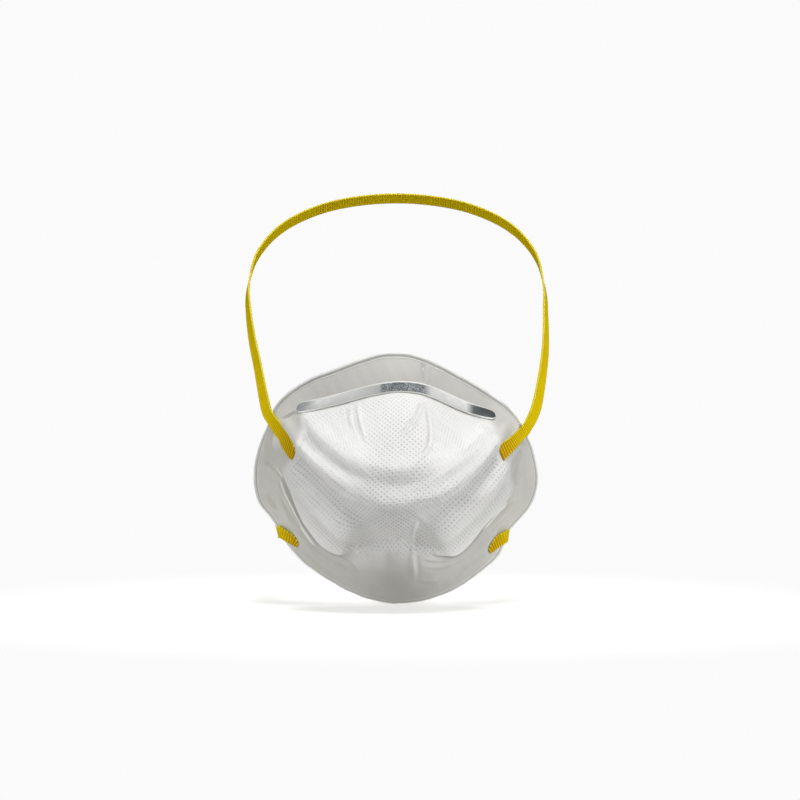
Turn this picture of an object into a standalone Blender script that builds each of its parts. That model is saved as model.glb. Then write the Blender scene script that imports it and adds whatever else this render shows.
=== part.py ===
"""Disposable cup-shaped dust mask with a nose clip and two elastic headbands.

Every length below is in millimetres and is turned into metres as a vertex is
made. The wearer's right is -X, the cup points along -Y and +Z is up. Shapes are
first laid out about the middle of the face seal, and the finished parts are
then moved so that the origin is the middle of the nose foam's resting face.
"""

import math

import bmesh
import bpy
from mathutils import Vector
from mathutils.bvhtree import BVHTree

MM = 0.001

# Front-view outlines of one half, from the top middle to the bottom middle (x, z).
RIM_OUTLINE = (
    (0.0, 63.5), (17.0, 60.0), (33.0, 52.0), (48.0, 43.0), (61.0, 32.0), (70.0, 14.0), (73.0, 0.0),
    (69.0, -15.0), (57.5, -27.5), (54.5, -35.0), (42.5, -48.5), (24.0, -59.5), (0.0, -64.0),
)
FOLD_OUTLINE = (
    (0.0, 42.5), (10.0, 41.5), (19.0, 39.2), (28.0, 36.0), (38.5, 32.6), (47.5, 30.0), (50.5, 22.0),
    (52.0, 12.0), (55.5, 2.0), (56.0, -7.0), (49.0, -19.0), (40.5, -30.0), (29.0, -37.0), (0.0, -37.5),
)
CUP_CENTRE = (0.0, -8.0)
OUTLINE_STEPS = 400

# Depth of the rim: the seal sits forward at nose and chin and back on the cheeks.
RIM_DEPTH_MEAN = 9.0
RIM_DEPTH_TILT = -6.0
RIM_DEPTH_SADDLE = -11.0

# Depth of the fold between the smooth skirt and the moulded cup.
FOLD_DEPTH_SIDE = 6.0
FOLD_DEPTH_TOP = -23.0
FOLD_DEPTH_CHIN = -42.0
FOLD_CHIN_POWER = 2.6

CUP_FRONT_DEPTH = -60.0
DOME_POWER = {"top": 1.75, "side": 2.2, "chin": 1.9}
DOME_ROUNDNESS = {"top": 1.2, "side": 1.5, "chin": 1.0}
SKIRT_BULGE = 1.4

SPOKES = 48
DOME_RINGS = (0.18, 0.36, 0.52, 0.67, 0.8, 0.91, 1.0)
SKIRT_RINGS = (0.35, 0.7, 1.0)
LIP_HEIGHT = 1.4
LIP_FADE = {1.0: 1.0, 0.91: 0.75, 0.8: 0.3}
LIP_FOOT = 0.07
LIP_START_ANGLE = math.radians(80.0)
LIP_FULL_ANGLE = math.radians(112.0)

# Laminate from the outside in: name, thickness and colour.
LAYERS = (
    ("outer_cover_web", 0.60, (0.93, 0.93, 0.92)),
    ("filter_web_front", 0.45, (0.96, 0.96, 0.95)),
    ("filter_web_rear", 0.45, (0.95, 0.95, 0.95)),
    ("support_shell", 0.90, (0.90, 0.90, 0.87)),
    ("inner_cover_web", 0.45, (0.94, 0.94, 0.94)),
)
LAYER_GAP = 0.30
PRESSED_SCALE = 0.5
INNER_RIM_SETBACK = 0.06

CLIP_HALF_LENGTH = 49.0
CLIP_WIDTH = 5.6
CLIP_THICKNESS = 0.9
CLIP_OFFSET_MIDDLE = 3.5
CLIP_OFFSET_END = 3.8
CLIP_STATIONS = 20
CLIP_TIP_REACH = 0.35

FOAM_HALF_LENGTH = 40.0
FOAM_WIDTH = 7.0
FOAM_THICKNESS = 3.5
FOAM_OFFSET_MIDDLE = 5.3
FOAM_OFFSET_END = 4.4
FOAM_FLAT_HALF = 4.0
FOAM_STATIONS = 8
ADHESIVE_THICKNESS = 0.25
SURFACE_GAP = 0.40
PROBE_START = 400.0
FOLD_LINE_PASSES = 6
SHARP_ANGLE = math.radians(40.0)

BAND_WIDTH = 7.0
BAND_THICKNESS = 1.0
BAND_JOINT_GAP = 0.4
TAB_STATIONS = 6

# One half of each headband, in the flat plane it runs in: sideways distance and
# distance back from the swing axis. The plane leans up from level by "lean".
HEADBANDS = {
    "upper_strap": {
        "axis_y": 11.0,
        "axis_z": 27.0,
        "lean": math.radians(45.0),
        "path": (
            (67.5, 0.0), (69.9, 14.0), (74.8, 43.0), (77.6, 63.0), (79.4, 84.0), (80.0, 104.0),
            (76.0, 130.0), (63.0, 153.0), (38.0, 171.0), (6.0, 178.0),
        ),
        "side_end": 5,
        "tab": ((52.6, 15.6), (57.4, 11.2), (65.6, 30.5), (65.6, 23.5)),
    },
    "lower_strap": {
        "axis_y": 19.0,
        "axis_z": -30.0,
        "lean": math.radians(6.5),
        "path": (
            (59.9, 0.0), (59.9, 18.0), (60.8, 45.0), (61.6, 75.0), (58.0, 97.0), (45.0, 116.0),
            (26.0, 125.0), (6.0, 128.0),
        ),
        "side_end": 3,
        "tab": ((47.2, -35.4), (51.2, -39.4), (58.0, -26.5), (58.0, -33.5)),
    },
}
PATH_SUBDIVISIONS = 3
ROUND_END_STEPS = 4

BAND_YELLOW = (0.83, 0.66, 0.05)
ALUMINIUM = (0.78, 0.79, 0.79)
FOAM_GREY = (0.55, 0.56, 0.57)
ADHESIVE_CLEAR = (0.86, 0.84, 0.76)


def clear_scene():
    """Remove every object that is already in the file."""
    for item in list(bpy.data.objects):
        bpy.data.objects.remove(item, do_unlink=True)


def make_material(name, colour, roughness, metallic):
    """Return a material whose Principled shader has the given values."""
    material = bpy.data.materials.new(name)
    material.use_nodes = True
    shader = material.node_tree.nodes["Principled BSDF"]
    shader.inputs["Base Color"].default_value = (*colour, 1.0)
    shader.inputs["Roughness"].default_value = roughness
    shader.inputs["Metallic"].default_value = metallic
    material.diffuse_color = (*colour, 1.0)
    return material


def make_object(name, vertices, faces, material):
    """Build one closed, outward-facing object from millimetre vertices."""
    mesh = bpy.data.meshes.new(name)
    mesh.from_pydata([Vector(v) * MM for v in vertices], [], faces)
    body = bmesh.new()
    body.from_mesh(mesh)
    bmesh.ops.recalc_face_normals(body, faces=body.faces)
    body.to_mesh(mesh)
    body.free()
    mesh.materials.append(material)
    item = bpy.data.objects.new(name, mesh)
    bpy.context.scene.collection.objects.link(item)
    return item


def polar_controls(outline):
    """Return (angle from the top, radius) of each outline point about the cup centre."""
    return [
        (math.atan2(x - CUP_CENTRE[0], z - CUP_CENTRE[1]), math.hypot(x - CUP_CENTRE[0], z - CUP_CENTRE[1]))
        for x, z in outline
    ]


def smooth_radius(controls, angle):
    """Interpolate the radius with a cubic that is level at the top and the bottom."""
    angle = abs(angle)
    slopes = [(b[1] - a[1]) / (b[0] - a[0]) for a, b in zip(controls, controls[1:])]
    tangents = [0.0] + [(a + b) / 2.0 for a, b in zip(slopes, slopes[1:])] + [0.0]
    index = 0
    while index < len(slopes) - 1 and angle > controls[index + 1][0]:
        index += 1
    span = controls[index + 1][0] - controls[index][0]
    t = (angle - controls[index][0]) / span
    return (
        (2 * t ** 3 - 3 * t ** 2 + 1) * controls[index][1]
        + (t ** 3 - 2 * t ** 2 + t) * span * tangents[index]
        + (3 * t ** 2 - 2 * t ** 3) * controls[index + 1][1]
        + (t ** 3 - t ** 2) * span * tangents[index + 1]
    )


RIM_CONTROLS = polar_controls(RIM_OUTLINE)
FOLD_CONTROLS = polar_controls(FOLD_OUTLINE)


def front_position(angle, radius):
    """Return (x, z) at a radius from the cup centre."""
    return CUP_CENTRE[0] + radius * math.sin(angle), CUP_CENTRE[1] + radius * math.cos(angle)


def rim_depth(angle):
    """Return the rim's depth."""
    return RIM_DEPTH_MEAN + RIM_DEPTH_TILT * math.cos(angle) + RIM_DEPTH_SADDLE * math.cos(2.0 * angle)


def fold_depth(angle):
    """Return the depth of the fold around the moulded cup."""
    up = max(0.0, math.cos(angle))
    down = max(0.0, -math.cos(angle))
    return FOLD_DEPTH_SIDE + FOLD_DEPTH_TOP * up ** 2 + FOLD_DEPTH_CHIN * down ** FOLD_CHIN_POWER


def dome_shape(angle):
    """Return the dome's power and roundness in one direction."""
    up = max(0.0, math.cos(angle)) ** 2
    down = max(0.0, -math.cos(angle)) ** 2
    side = 1.0 - up - down
    power = DOME_POWER["top"] * up + DOME_POWER["side"] * side + DOME_POWER["chin"] * down
    roundness = DOME_ROUNDNESS["top"] * up + DOME_ROUNDNESS["side"] * side + DOME_ROUNDNESS["chin"] * down
    return power, roundness


def dome_point(angle, fraction):
    """Return a point of the moulded cup, from its middle at 0 to its fold at 1."""
    power, roundness = dome_shape(angle)
    drop = 1.0 - max(0.0, 1.0 - fraction ** power) ** (1.0 / roundness)
    x, z = front_position(angle, fraction * smooth_radius(FOLD_CONTROLS, angle))
    return Vector((x, CUP_FRONT_DEPTH + (fold_depth(angle) - CUP_FRONT_DEPTH) * drop, z))


def skirt_point(angle, fraction):
    """Return a point of the smooth skirt, from the fold at 0 to the rim at 1."""
    inner = smooth_radius(FOLD_CONTROLS, angle)
    outer = smooth_radius(RIM_CONTROLS, angle)
    x, z = front_position(angle, inner + (outer - inner) * fraction)
    depth = fold_depth(angle) + (rim_depth(angle) - fold_depth(angle)) * fraction
    return Vector((x, depth - SKIRT_BULGE * math.sin(math.pi * fraction), z))


def skirt_depth(x, z):
    """Return the depth of the skirt at (x, z), carried straight on past the rim."""
    angle = math.atan2(x - CUP_CENTRE[0], z - CUP_CENTRE[1])
    inner = smooth_radius(FOLD_CONTROLS, angle)
    outer = smooth_radius(RIM_CONTROLS, angle)
    fraction = (math.hypot(x - CUP_CENTRE[0], z - CUP_CENTRE[1]) - inner) / (outer - inner)
    depth = fold_depth(angle) + (rim_depth(angle) - fold_depth(angle)) * fraction
    return depth - SKIRT_BULGE * math.sin(math.pi * min(1.0, fraction))


def spoke_angles():
    """Return angles that are evenly spaced along the rim, symmetric about the middle."""
    fine = [skirt_point(math.pi * i / OUTLINE_STEPS, 1.0) for i in range(OUTLINE_STEPS + 1)]
    travelled = [0.0]
    for before, after in zip(fine, fine[1:]):
        travelled.append(travelled[-1] + (after - before).length)
    half = []
    position = 0
    for spoke in range(SPOKES // 2 + 1):
        target = travelled[-1] * spoke / (SPOKES // 2)
        while position < OUTLINE_STEPS - 1 and travelled[position + 1] < target:
            position += 1
        part = (target - travelled[position]) / (travelled[position + 1] - travelled[position])
        half.append(math.pi * (position + part) / OUTLINE_STEPS)
    return half + [-angle for angle in reversed(half[1:-1])]


def grid_triangles(rings, first, apex=None):
    """Return the triangles between neighbouring rings, mirrored about the middle."""
    faces = []
    for ring in range(rings - 1):
        for spoke in range(SPOKES):
            following = (spoke + 1) % SPOKES
            a = first + ring * SPOKES + spoke
            b = first + ring * SPOKES + following
            c = a + SPOKES
            d = b + SPOKES
            if spoke < SPOKES // 2:
                faces += [(a, b, d), (a, d, c)]
            else:
                faces += [(a, b, c), (b, d, c)]
    if apex is not None:
        faces += [(apex, first + (spoke + 1) % SPOKES, first + spoke) for spoke in range(SPOKES)]
    return faces


def surface_normals(points, faces):
    """Return the forward-facing normal at each point of an open surface."""
    normals = [Vector() for _ in points]
    for face in faces:
        corners = [points[i] for i in face]
        facing = (corners[1] - corners[0]).cross(corners[2] - corners[0])
        if facing.y > 0.0:
            facing.negate()
        for i in face:
            normals[i] += facing
    return [normal.normalized() for normal in normals]


def pressed(ring):
    """Return how far the laminate keeps its full thickness at a ring."""
    dome_count = len(DOME_RINGS)
    if ring < dome_count:
        return 1.0
    return 1.0 + (PRESSED_SCALE - 1.0) * SKIRT_RINGS[ring - dome_count]


def lip_height(angle, fraction):
    """Return how far the lower edge of the cup stands proud of the skirt."""
    turn = (abs(angle) - LIP_START_ANGLE) / (LIP_FULL_ANGLE - LIP_START_ANGLE)
    return LIP_HEIGHT * min(1.0, max(0.0, turn)) * LIP_FADE.get(fraction, 0.0)


def make_layers():
    """Build the laminate webs and return them by name."""
    angles = spoke_angles()
    rings = len(DOME_RINGS) + len(SKIRT_RINGS)
    base = [dome_point(angle, s) for s in DOME_RINGS for angle in angles]
    base += [skirt_point(angle, f) for f in SKIRT_RINGS for angle in angles]
    base.append(dome_point(0.0, 0.0))
    normals = surface_normals(base, grid_triangles(rings, 0, len(base) - 1))
    ring_scale = [pressed(i // SPOKES) for i in range(len(base) - 1)] + [1.0]

    def offset_surface(depth, setback):
        """Return the base surface moved inwards, its rim pulled towards the ring before it."""
        moved = []
        for i, point in enumerate(base):
            if i // SPOKES == rings - 1 and i < len(base) - 1:
                edge = point.lerp(base[i - SPOKES], setback)
                moved.append(edge - normals[i] * depth * ring_scale[i])
            else:
                moved.append(point - normals[i] * depth * ring_scale[i])
        return moved

    made = {}
    depth = 0.0
    for number, (name, thickness, colour) in enumerate(LAYERS):
        setback = 0.0 if number == 0 else INNER_RIM_SETBACK
        outer = offset_surface(depth, setback)
        inner = offset_surface(depth + thickness, setback)
        depth += thickness + LAYER_GAP
        if number == 0:
            outer = raise_lip(outer, normals, angles)
            outer_rings = rings + 1
        else:
            outer_rings = rings
        outer_apex = len(outer) - 1
        start = len(outer)
        faces = grid_triangles(outer_rings, 0, outer_apex)
        faces += grid_triangles(rings, start, start + len(inner) - 1)
        outer_edge = (outer_rings - 1) * SPOKES
        inner_edge = start + (rings - 1) * SPOKES
        for spoke in range(SPOKES):
            following = (spoke + 1) % SPOKES
            faces.append((outer_edge + spoke, outer_edge + following, inner_edge + following))
            faces.append((outer_edge + spoke, inner_edge + following, inner_edge + spoke))
        item = make_object(name, outer + inner, faces, make_material(name, colour, 0.85, 0.0))
        item.data.shade_smooth()
        item.data.set_sharp_from_angle(angle=SHARP_ANGLE)
        made[name] = item
    return made


def raise_lip(outer, normals, angles):
    """Raise the cup's lower edge and add the ring where its lip meets the skirt."""
    raised = list(outer)
    for ring, fraction in enumerate(DOME_RINGS):
        for spoke, angle in enumerate(angles):
            i = ring * SPOKES + spoke
            raised[i] = raised[i] + normals[i] * lip_height(angle, fraction)
    foot = [skirt_point(angle, LIP_FOOT) for angle in angles]
    split = len(DOME_RINGS) * SPOKES
    return raised[:split] + foot + raised[split:]


def tree_of(item):
    """Return a search tree over an object's faces."""
    body = bmesh.new()
    body.from_mesh(item.data)
    tree = BVHTree.FromBMesh(body)
    body.free()
    return tree


def strip_from_rows(rows, lift, thickness, toward):
    """Return a closed strip over rows of points, lifted off them by a gap.

    toward is -1.0 for a strip in front of the rows and 1.0 for one behind them.
    """
    across = len(rows[0])
    flat = [point for row in rows for point in row]
    quads = [
        (r * across + c, r * across + c + 1, (r + 1) * across + c + 1, (r + 1) * across + c)
        for r in range(len(rows) - 1)
        for c in range(across - 1)
    ]
    normals = [Vector() for _ in flat]
    for quad in quads:
        facing = (flat[quad[2]] - flat[quad[0]]).cross(flat[quad[3]] - flat[quad[1]])
        if facing.y * toward < 0.0:
            facing.negate()
        for i in quad:
            normals[i] += facing
    normals = [normal.normalized() for normal in normals]
    near = [point + normal * lift for point, normal in zip(flat, normals)]
    far = [point + normal * (lift + thickness) for point, normal in zip(flat, normals)]
    count = len(flat)
    last_row = (len(rows) - 1) * across
    edge = list(range(across))
    edge += [r * across + across - 1 for r in range(1, len(rows))]
    edge += [last_row + c for c in range(across - 2, -1, -1)]
    edge += [r * across for r in range(len(rows) - 2, 0, -1)]
    halves = [half for a, b, c, d in quads for half in ((a, b, c), (a, c, d))]
    faces = halves + [tuple(i + count for i in reversed(half)) for half in halves]
    for here, there in zip(edge, edge[1:] + edge[:1]):
        faces.append((here, there, there + count, here + count))
    return near + far, faces


def surface_height(tree, x, z, toward):
    """Return the depth of the first face met at (x, z), or None off the edge."""
    start = Vector((x, PROBE_START * toward, z)) * MM
    hit = tree.ray_cast(start, Vector((0.0, -toward, 0.0)))[0]
    return None if hit is None else hit.y / MM


def fold_line(half_length, offset_middle, offset_end, positions):
    """Return (x, z) points and directions along the skirt, just above the fold."""
    points = []
    for position in positions:
        angle = math.atan2(position * half_length, smooth_radius(FOLD_CONTROLS, 0.0))
        for _ in range(FOLD_LINE_PASSES):
            radius = smooth_radius(FOLD_CONTROLS, angle)
            reach = offset_middle + (offset_end - offset_middle) * position ** 2
            angle += (position * half_length - (radius + reach) * math.sin(angle)) / (radius + reach)
        points.append(Vector(front_position(angle, radius + reach)))
    directions = []
    for i in range(len(points)):
        before = points[max(0, i - 1)]
        after = points[min(len(points) - 1, i + 1)]
        directions.append((after - before).normalized())
    return points, directions


def make_nose_clip(web):
    """Build the soft metal strip that lies on the skirt above the cup."""
    tree = tree_of(web)
    half_width = CLIP_WIDTH / 2.0
    positions = [math.sin(math.pi / 2.0 * (2.0 * i / CLIP_STATIONS - 1.0)) for i in range(CLIP_STATIONS + 1)]
    points, directions = fold_line(CLIP_HALF_LENGTH, CLIP_OFFSET_MIDDLE, CLIP_OFFSET_END, positions)
    rows = []
    for position, point, direction in zip(positions, points, directions):
        from_end = min(half_width, CLIP_HALF_LENGTH * (1.0 - abs(position)))
        reach = max(CLIP_TIP_REACH, math.sqrt(half_width ** 2 - (half_width - from_end) ** 2))
        across = Vector((-direction.y, direction.x))
        row = []
        for side in (1.0, 0.0, -1.0):
            x, z = point + across * reach * side
            row.append(Vector((x, surface_height(tree, x, z, -1.0), z)))
        rows.append(row)
    vertices, faces = strip_from_rows(rows, SURFACE_GAP, CLIP_THICKNESS, -1.0)
    item = make_object("nose_clip", vertices, faces, make_material("nose_clip", ALUMINIUM, 0.35, 1.0))
    item.data.shade_smooth()
    item.data.set_sharp_from_angle(angle=SHARP_ANGLE)


def make_nose_foam(web):
    """Build the foam strip on the inside of the nose and the adhesive under it.

    The middle of the foam is flat, and its resting point is returned.
    """
    tree = tree_of(web)
    flat = FOAM_FLAT_HALF / FOAM_HALF_LENGTH
    steps = FOAM_STATIONS // 2
    right = [flat + (1.0 - flat) * i / steps for i in range(steps + 1)]
    positions = [-p for p in reversed(right)] + right
    points, directions = fold_line(FOAM_HALF_LENGTH, FOAM_OFFSET_MIDDLE, FOAM_OFFSET_END, positions)
    rows = []
    for point, direction in zip(points, directions):
        across = Vector((-direction.y, direction.x))
        row = []
        for side in (0.5, -0.5):
            x, z = point + across * FOAM_WIDTH * side
            row.append(Vector((x, surface_height(tree, x, z, 1.0), z)))
        rows.append(row)
    vertices, faces = strip_from_rows(rows, SURFACE_GAP, ADHESIVE_THICKNESS, 1.0)
    make_object("nose_foam_adhesive", vertices, faces,
                make_material("nose_foam_adhesive", ADHESIVE_CLEAR, 0.4, 0.0))
    lift = 2.0 * SURFACE_GAP + ADHESIVE_THICKNESS
    vertices, faces = strip_from_rows(rows, lift, FOAM_THICKNESS, 1.0)
    make_object("nose_foam", vertices, faces, make_material("nose_foam", FOAM_GREY, 0.95, 0.0))
    first = len(vertices) // 2 + 2 * steps
    corners = vertices[first:first + 4]
    return sum(corners, Vector()) / len(corners)


def smooth_path(controls):
    """Return the headband's path with extra points between its controls."""
    points = [Vector(control) for control in controls]
    path = []
    for i in range(len(points) - 1):
        before = points[i - 1] if i > 0 else points[0] * 2.0 - points[1]
        after = points[i + 2] if i + 2 < len(points) else Vector((-points[-1].x, points[-1].y))
        for step in range(PATH_SUBDIVISIONS):
            t = step / PATH_SUBDIVISIONS
            path.append(0.5 * (
                2.0 * points[i]
                + (points[i + 1] - before) * t
                + (2.0 * before - 5.0 * points[i] + 4.0 * points[i + 1] - after) * t ** 2
                + (3.0 * points[i] - before - 3.0 * points[i + 1] + after) * t ** 3
            ))
    path.append(points[-1])
    return path


def band_body(name, plane, stations, material):
    """Build a flat band from (sideways, back, half width) stations in its plane."""
    back = Vector((0.0, math.cos(plane["lean"]), math.sin(plane["lean"])))
    wide = Vector((0.0, -math.sin(plane["lean"]), math.cos(plane["lean"])))
    axis_point = Vector((0.0, plane["axis_y"], plane["axis_z"]))
    centres = [Vector((x, t)) for x, t, _ in stations]
    vertices = []
    for i, (x, t, reach) in enumerate(stations):
        direction = (centres[min(len(centres) - 1, i + 1)] - centres[max(0, i - 1)]).normalized()
        if t <= 0.0:
            direction = Vector((0.0, 1.0))
        outward = Vector((direction.y, -direction.x)) * BAND_THICKNESS / 2.0
        for across, side in ((1.0, -1.0), (1.0, 1.0), (-1.0, 1.0), (-1.0, -1.0)):
            place = Vector((x, t)) + outward * side
            in_plane = Vector((place.x, 0.0, 0.0)) + back * place.y
            vertices.append(axis_point + in_plane + wide * reach * across)
    faces = [(0, 1, 2, 3)]
    for i in range(len(stations) - 1):
        for corner in range(4):
            a = 4 * i + corner
            b = 4 * i + (corner + 1) % 4
            faces.append((a, b, b + 4, a + 4))
    last = 4 * (len(stations) - 1)
    faces.append((last + 3, last + 2, last + 1, last))
    return make_object(name, vertices, faces, material)


def make_tab(name, corners, mirror, tree, material):
    """Build the welded end of a headband, lying on the skirt and reaching the rim."""
    top_inner, low_inner, top_outer, low_outer = [Vector(corner) for corner in corners]
    rows = []
    for station in range(TAB_STATIONS + 1):
        part = station / TAB_STATIONS
        top = top_inner.lerp(top_outer, part)
        low = low_inner.lerp(low_outer, part)
        row = []
        for side in (0.0, 0.5, 1.0):
            x, z = top.lerp(low, side)
            depth = surface_height(tree, x * mirror, z, -1.0)
            if depth is None:
                depth = skirt_depth(x, z)
            row.append(Vector((x * mirror, depth, z)))
        rows.append(row)
    vertices, faces = strip_from_rows(rows, SURFACE_GAP, BAND_THICKNESS, -1.0)
    return make_object(name, vertices, faces, material)


def make_headband(name, plane, web, tree):
    """Build one headband: two welded ends, two sides and the part behind the head."""
    path = smooth_path(plane["path"])
    split = plane["side_end"] * PATH_SUBDIVISIONS
    half = BAND_WIDTH / 2.0
    rounded = []
    for step in range(ROUND_END_STEPS):
        swing = math.pi / 2.0 * (step + 0.5) / ROUND_END_STEPS
        rounded.append((path[0].x, -half * math.cos(swing), half * math.sin(swing)))
    side = rounded + [(point.x, point.y, half) for point in path[:split + 1]]
    step_on = (path[split + 1] - path[split]).normalized() * BAND_JOINT_GAP
    rear = [(path[split].x + step_on.x, path[split].y + step_on.y, half)]
    rear += [(point.x, point.y, half) for point in path[split + 1:]]
    for label, mirror in (("left", -1.0), ("right", 1.0)):
        colour = make_material(f"{name}_end_{label}", BAND_YELLOW, 0.7, 0.0)
        make_tab(f"{name}_end_{label}", plane["tab"], mirror, tree, colour)
        colour = make_material(f"{name}_{label}_side", BAND_YELLOW, 0.7, 0.0)
        stations = [(x * mirror, t, reach) for x, t, reach in side]
        item = band_body(f"{name}_{label}_side", plane, stations, colour)
        set_origin(item, Vector((0.0, plane["axis_y"], plane["axis_z"])) * MM)
    whole = rear + [(-x, t, reach) for x, t, reach in reversed(rear)]
    item = band_body(f"{name}_back", plane, whole, make_material(f"{name}_back", BAND_YELLOW, 0.7, 0.0))
    set_origin(item, Vector((0.0, plane["axis_y"], plane["axis_z"])) * MM)


def set_origin(item, origin):
    """Move an object's origin without moving its shape."""
    for vertex in item.data.vertices:
        vertex.co -= origin
    item.location = origin


def build():
    """Build the whole mask and put the origin on the nose foam's resting face."""
    clear_scene()
    layers = make_layers()
    outer_tree = tree_of(layers["outer_cover_web"])
    make_nose_clip(layers["outer_cover_web"])
    resting_point = make_nose_foam(layers["inner_cover_web"])
    for name, plane in HEADBANDS.items():
        make_headband(name, plane, layers["outer_cover_web"], outer_tree)
    for item in bpy.context.scene.objects:
        item.location -= resting_point * MM


build()
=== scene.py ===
import math

import bpy
import numpy as np
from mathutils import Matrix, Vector
from mathutils.bvhtree import BVHTree


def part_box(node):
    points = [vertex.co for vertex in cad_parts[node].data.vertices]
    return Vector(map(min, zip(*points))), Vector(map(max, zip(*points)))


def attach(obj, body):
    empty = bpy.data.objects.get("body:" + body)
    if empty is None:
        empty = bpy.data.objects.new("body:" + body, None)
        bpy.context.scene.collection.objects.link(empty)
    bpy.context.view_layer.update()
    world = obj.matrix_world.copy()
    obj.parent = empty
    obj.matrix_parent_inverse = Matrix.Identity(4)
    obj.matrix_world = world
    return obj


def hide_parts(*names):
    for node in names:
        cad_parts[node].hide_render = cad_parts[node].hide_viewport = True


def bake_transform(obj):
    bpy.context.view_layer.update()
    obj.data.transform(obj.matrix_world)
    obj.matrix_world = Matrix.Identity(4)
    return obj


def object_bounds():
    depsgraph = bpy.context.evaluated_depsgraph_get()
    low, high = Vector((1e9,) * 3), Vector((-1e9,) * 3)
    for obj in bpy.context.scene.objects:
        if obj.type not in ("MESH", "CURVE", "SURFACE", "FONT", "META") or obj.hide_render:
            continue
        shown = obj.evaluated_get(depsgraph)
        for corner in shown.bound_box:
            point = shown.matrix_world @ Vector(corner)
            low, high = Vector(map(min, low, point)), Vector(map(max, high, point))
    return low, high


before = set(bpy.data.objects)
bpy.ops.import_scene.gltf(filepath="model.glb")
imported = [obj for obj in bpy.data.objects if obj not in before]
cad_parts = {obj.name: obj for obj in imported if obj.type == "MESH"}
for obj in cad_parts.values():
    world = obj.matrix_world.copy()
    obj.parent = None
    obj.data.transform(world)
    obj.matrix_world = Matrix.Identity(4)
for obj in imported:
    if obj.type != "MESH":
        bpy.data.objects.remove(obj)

cad_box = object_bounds()

# All shapes are laid out in millimetres, with the wearer's right at -X, the cup
# pointing along -Y and +Z up, and are then moved onto the frame in metres. "Right"
# and "left" are the wearer's, except in the names of the frame's nodes and of the
# pieces that replace them, which go by the view from the front: their left is at -X.
MM = 0.001

# Front-view outlines from the top middle to the bottom middle (distance from the
# middle, z). The mask sits a little askew, so its two sides differ.
RIM_RIGHT = (
    (0.0, 63.5), (6.0, 63.3), (18.1, 60.0), (33.3, 54.5), (44.8, 50.0), (54.4, 43.8), (60.4, 38.0),
    (63.6, 32.6), (65.8, 26.0), (69.4, 18.3), (72.4, 9.0), (73.4, 0.0), (73.2, -5.0), (70.6, -13.8),
    (64.6, -21.4), (60.0, -28.2), (55.9, -35.0), (49.2, -42.5), (38.8, -50.0), (26.0, -57.3),
    (13.2, -62.1), (0.0, -64.0),
)
RIM_LEFT = (
    (0.0, 63.5), (6.0, 63.2), (17.1, 59.6), (32.2, 52.0), (47.6, 42.9), (57.9, 35.3), (64.2, 26.8),
    (68.0, 18.9), (71.3, 10.5), (73.0, 2.0), (72.8, -4.5), (69.7, -14.5), (63.5, -22.3), (57.6, -28.9),
    (55.8, -35.0), (52.6, -40.8), (43.0, -49.0), (30.0, -57.3), (17.2, -62.0), (0.0, -64.0),
)
TOP_RIGHT = ((0.0, 42.9), (8.8, 41.7), (18.7, 39.3), (28.6, 36.5))
TOP_LEFT = ((0.0, 42.9), (6.0, 42.8), (12.9, 41.8), (18.9, 39.6), (26.8, 35.9))
EMBOSS_RIGHT = TOP_RIGHT + (
    (38.7, 34.0), (46.5, 31.8), (47.0, 26.0), (49.5, 14.3), (55.8, 1.5), (55.2, -6.5), (52.3, -11.0),
    (48.0, -18.7), (40.4, -30.0), (34.6, -35.3), (28.9, -37.2), (20.5, -38.1), (0.0, -37.5),
)
EMBOSS_LEFT = TOP_LEFT + (
    (33.8, 32.6), (40.9, 30.0), (47.6, 27.4), (50.3, 21.0), (52.5, 13.0), (56.8, 3.0), (58.0, -6.5),
    (54.2, -12.0), (46.1, -22.4), (38.8, -30.2), (29.5, -36.9), (18.5, -38.4), (0.0, -37.5),
)
FOLD_RIGHT = TOP_RIGHT + (
    (38.7, 34.1), (46.5, 32.2), (53.0, 29.5), (58.5, 25.2), (61.0, 19.5), (60.8, 13.0), (59.0, 7.5),
    (57.1, 3.0), (55.4, -2.0), (53.3, -6.9), (49.3, -16.4), (43.3, -26.0), (35.2, -34.2), (28.5, -37.3),
    (20.5, -38.2), (0.0, -37.5),
)
FOLD_LEFT = TOP_LEFT + (
    (33.8, 32.8), (40.9, 30.4), (47.6, 28.6), (54.0, 26.4), (59.0, 22.2), (61.4, 16.0), (61.8, 9.0),
    (61.2, 1.5), (60.2, -4.5), (58.2, -8.8), (54.1, -12.9), (48.1, -19.3), (43.7, -23.9), (37.1, -31.4),
    (30.0, -37.0), (18.5, -38.8), (0.0, -37.5),
)
CUP_CENTRE = (0.0, -8.0)
CUP_FRONT = -60.0

web_low, web_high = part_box("outer_cover_web")
ORIGIN = np.array([0.0, CUP_FRONT - web_low.y / MM, RIM_LEFT[0][1] - web_high.z / MM])

# Grids of the mask's layers: columns, then rows on the cup, the skirt and the rim.
COVER_GRID = (480, 120, 24, 20)
PLY_GRID = (360, 60, 14, 8)
FACE_GRID = (480, 80, 20, 16)
MERGE_STEPS = 161
MERGE_PASSES = 150

# The cover's relief and the parts of it behind the rim.
CREASE_ON_CUP = 1.6
CREASE_ON_SKIRT = 2.4
LIP_HEIGHT = 1.4
RIM_BAND = 4.6
RIM_RIDGE = 3.1
EDGE_RADIUS = 0.9
EDGE_ROWS = 8
FLANGE_ROWS = 12
FLANGE_WIDTH = 2.9
FLANGE_WAVE = 0.15
TUCK_DEPTH = 0.9
UNDER_ROWS = 12
UNDER_DEPTH = 1.0

# Thickness of the stack of layers on the cup and at the rim.
CUP_DEPTH = 4.0
SKIRT_DEPTH = 2.0


def smoothstep(low, high, value):
    """Return 0 below low, 1 above high and a smooth rise between them."""
    t = np.clip((value - low) / (high - low), 0.0, 1.0)
    return t * t * (3.0 - 2.0 * t)


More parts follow.
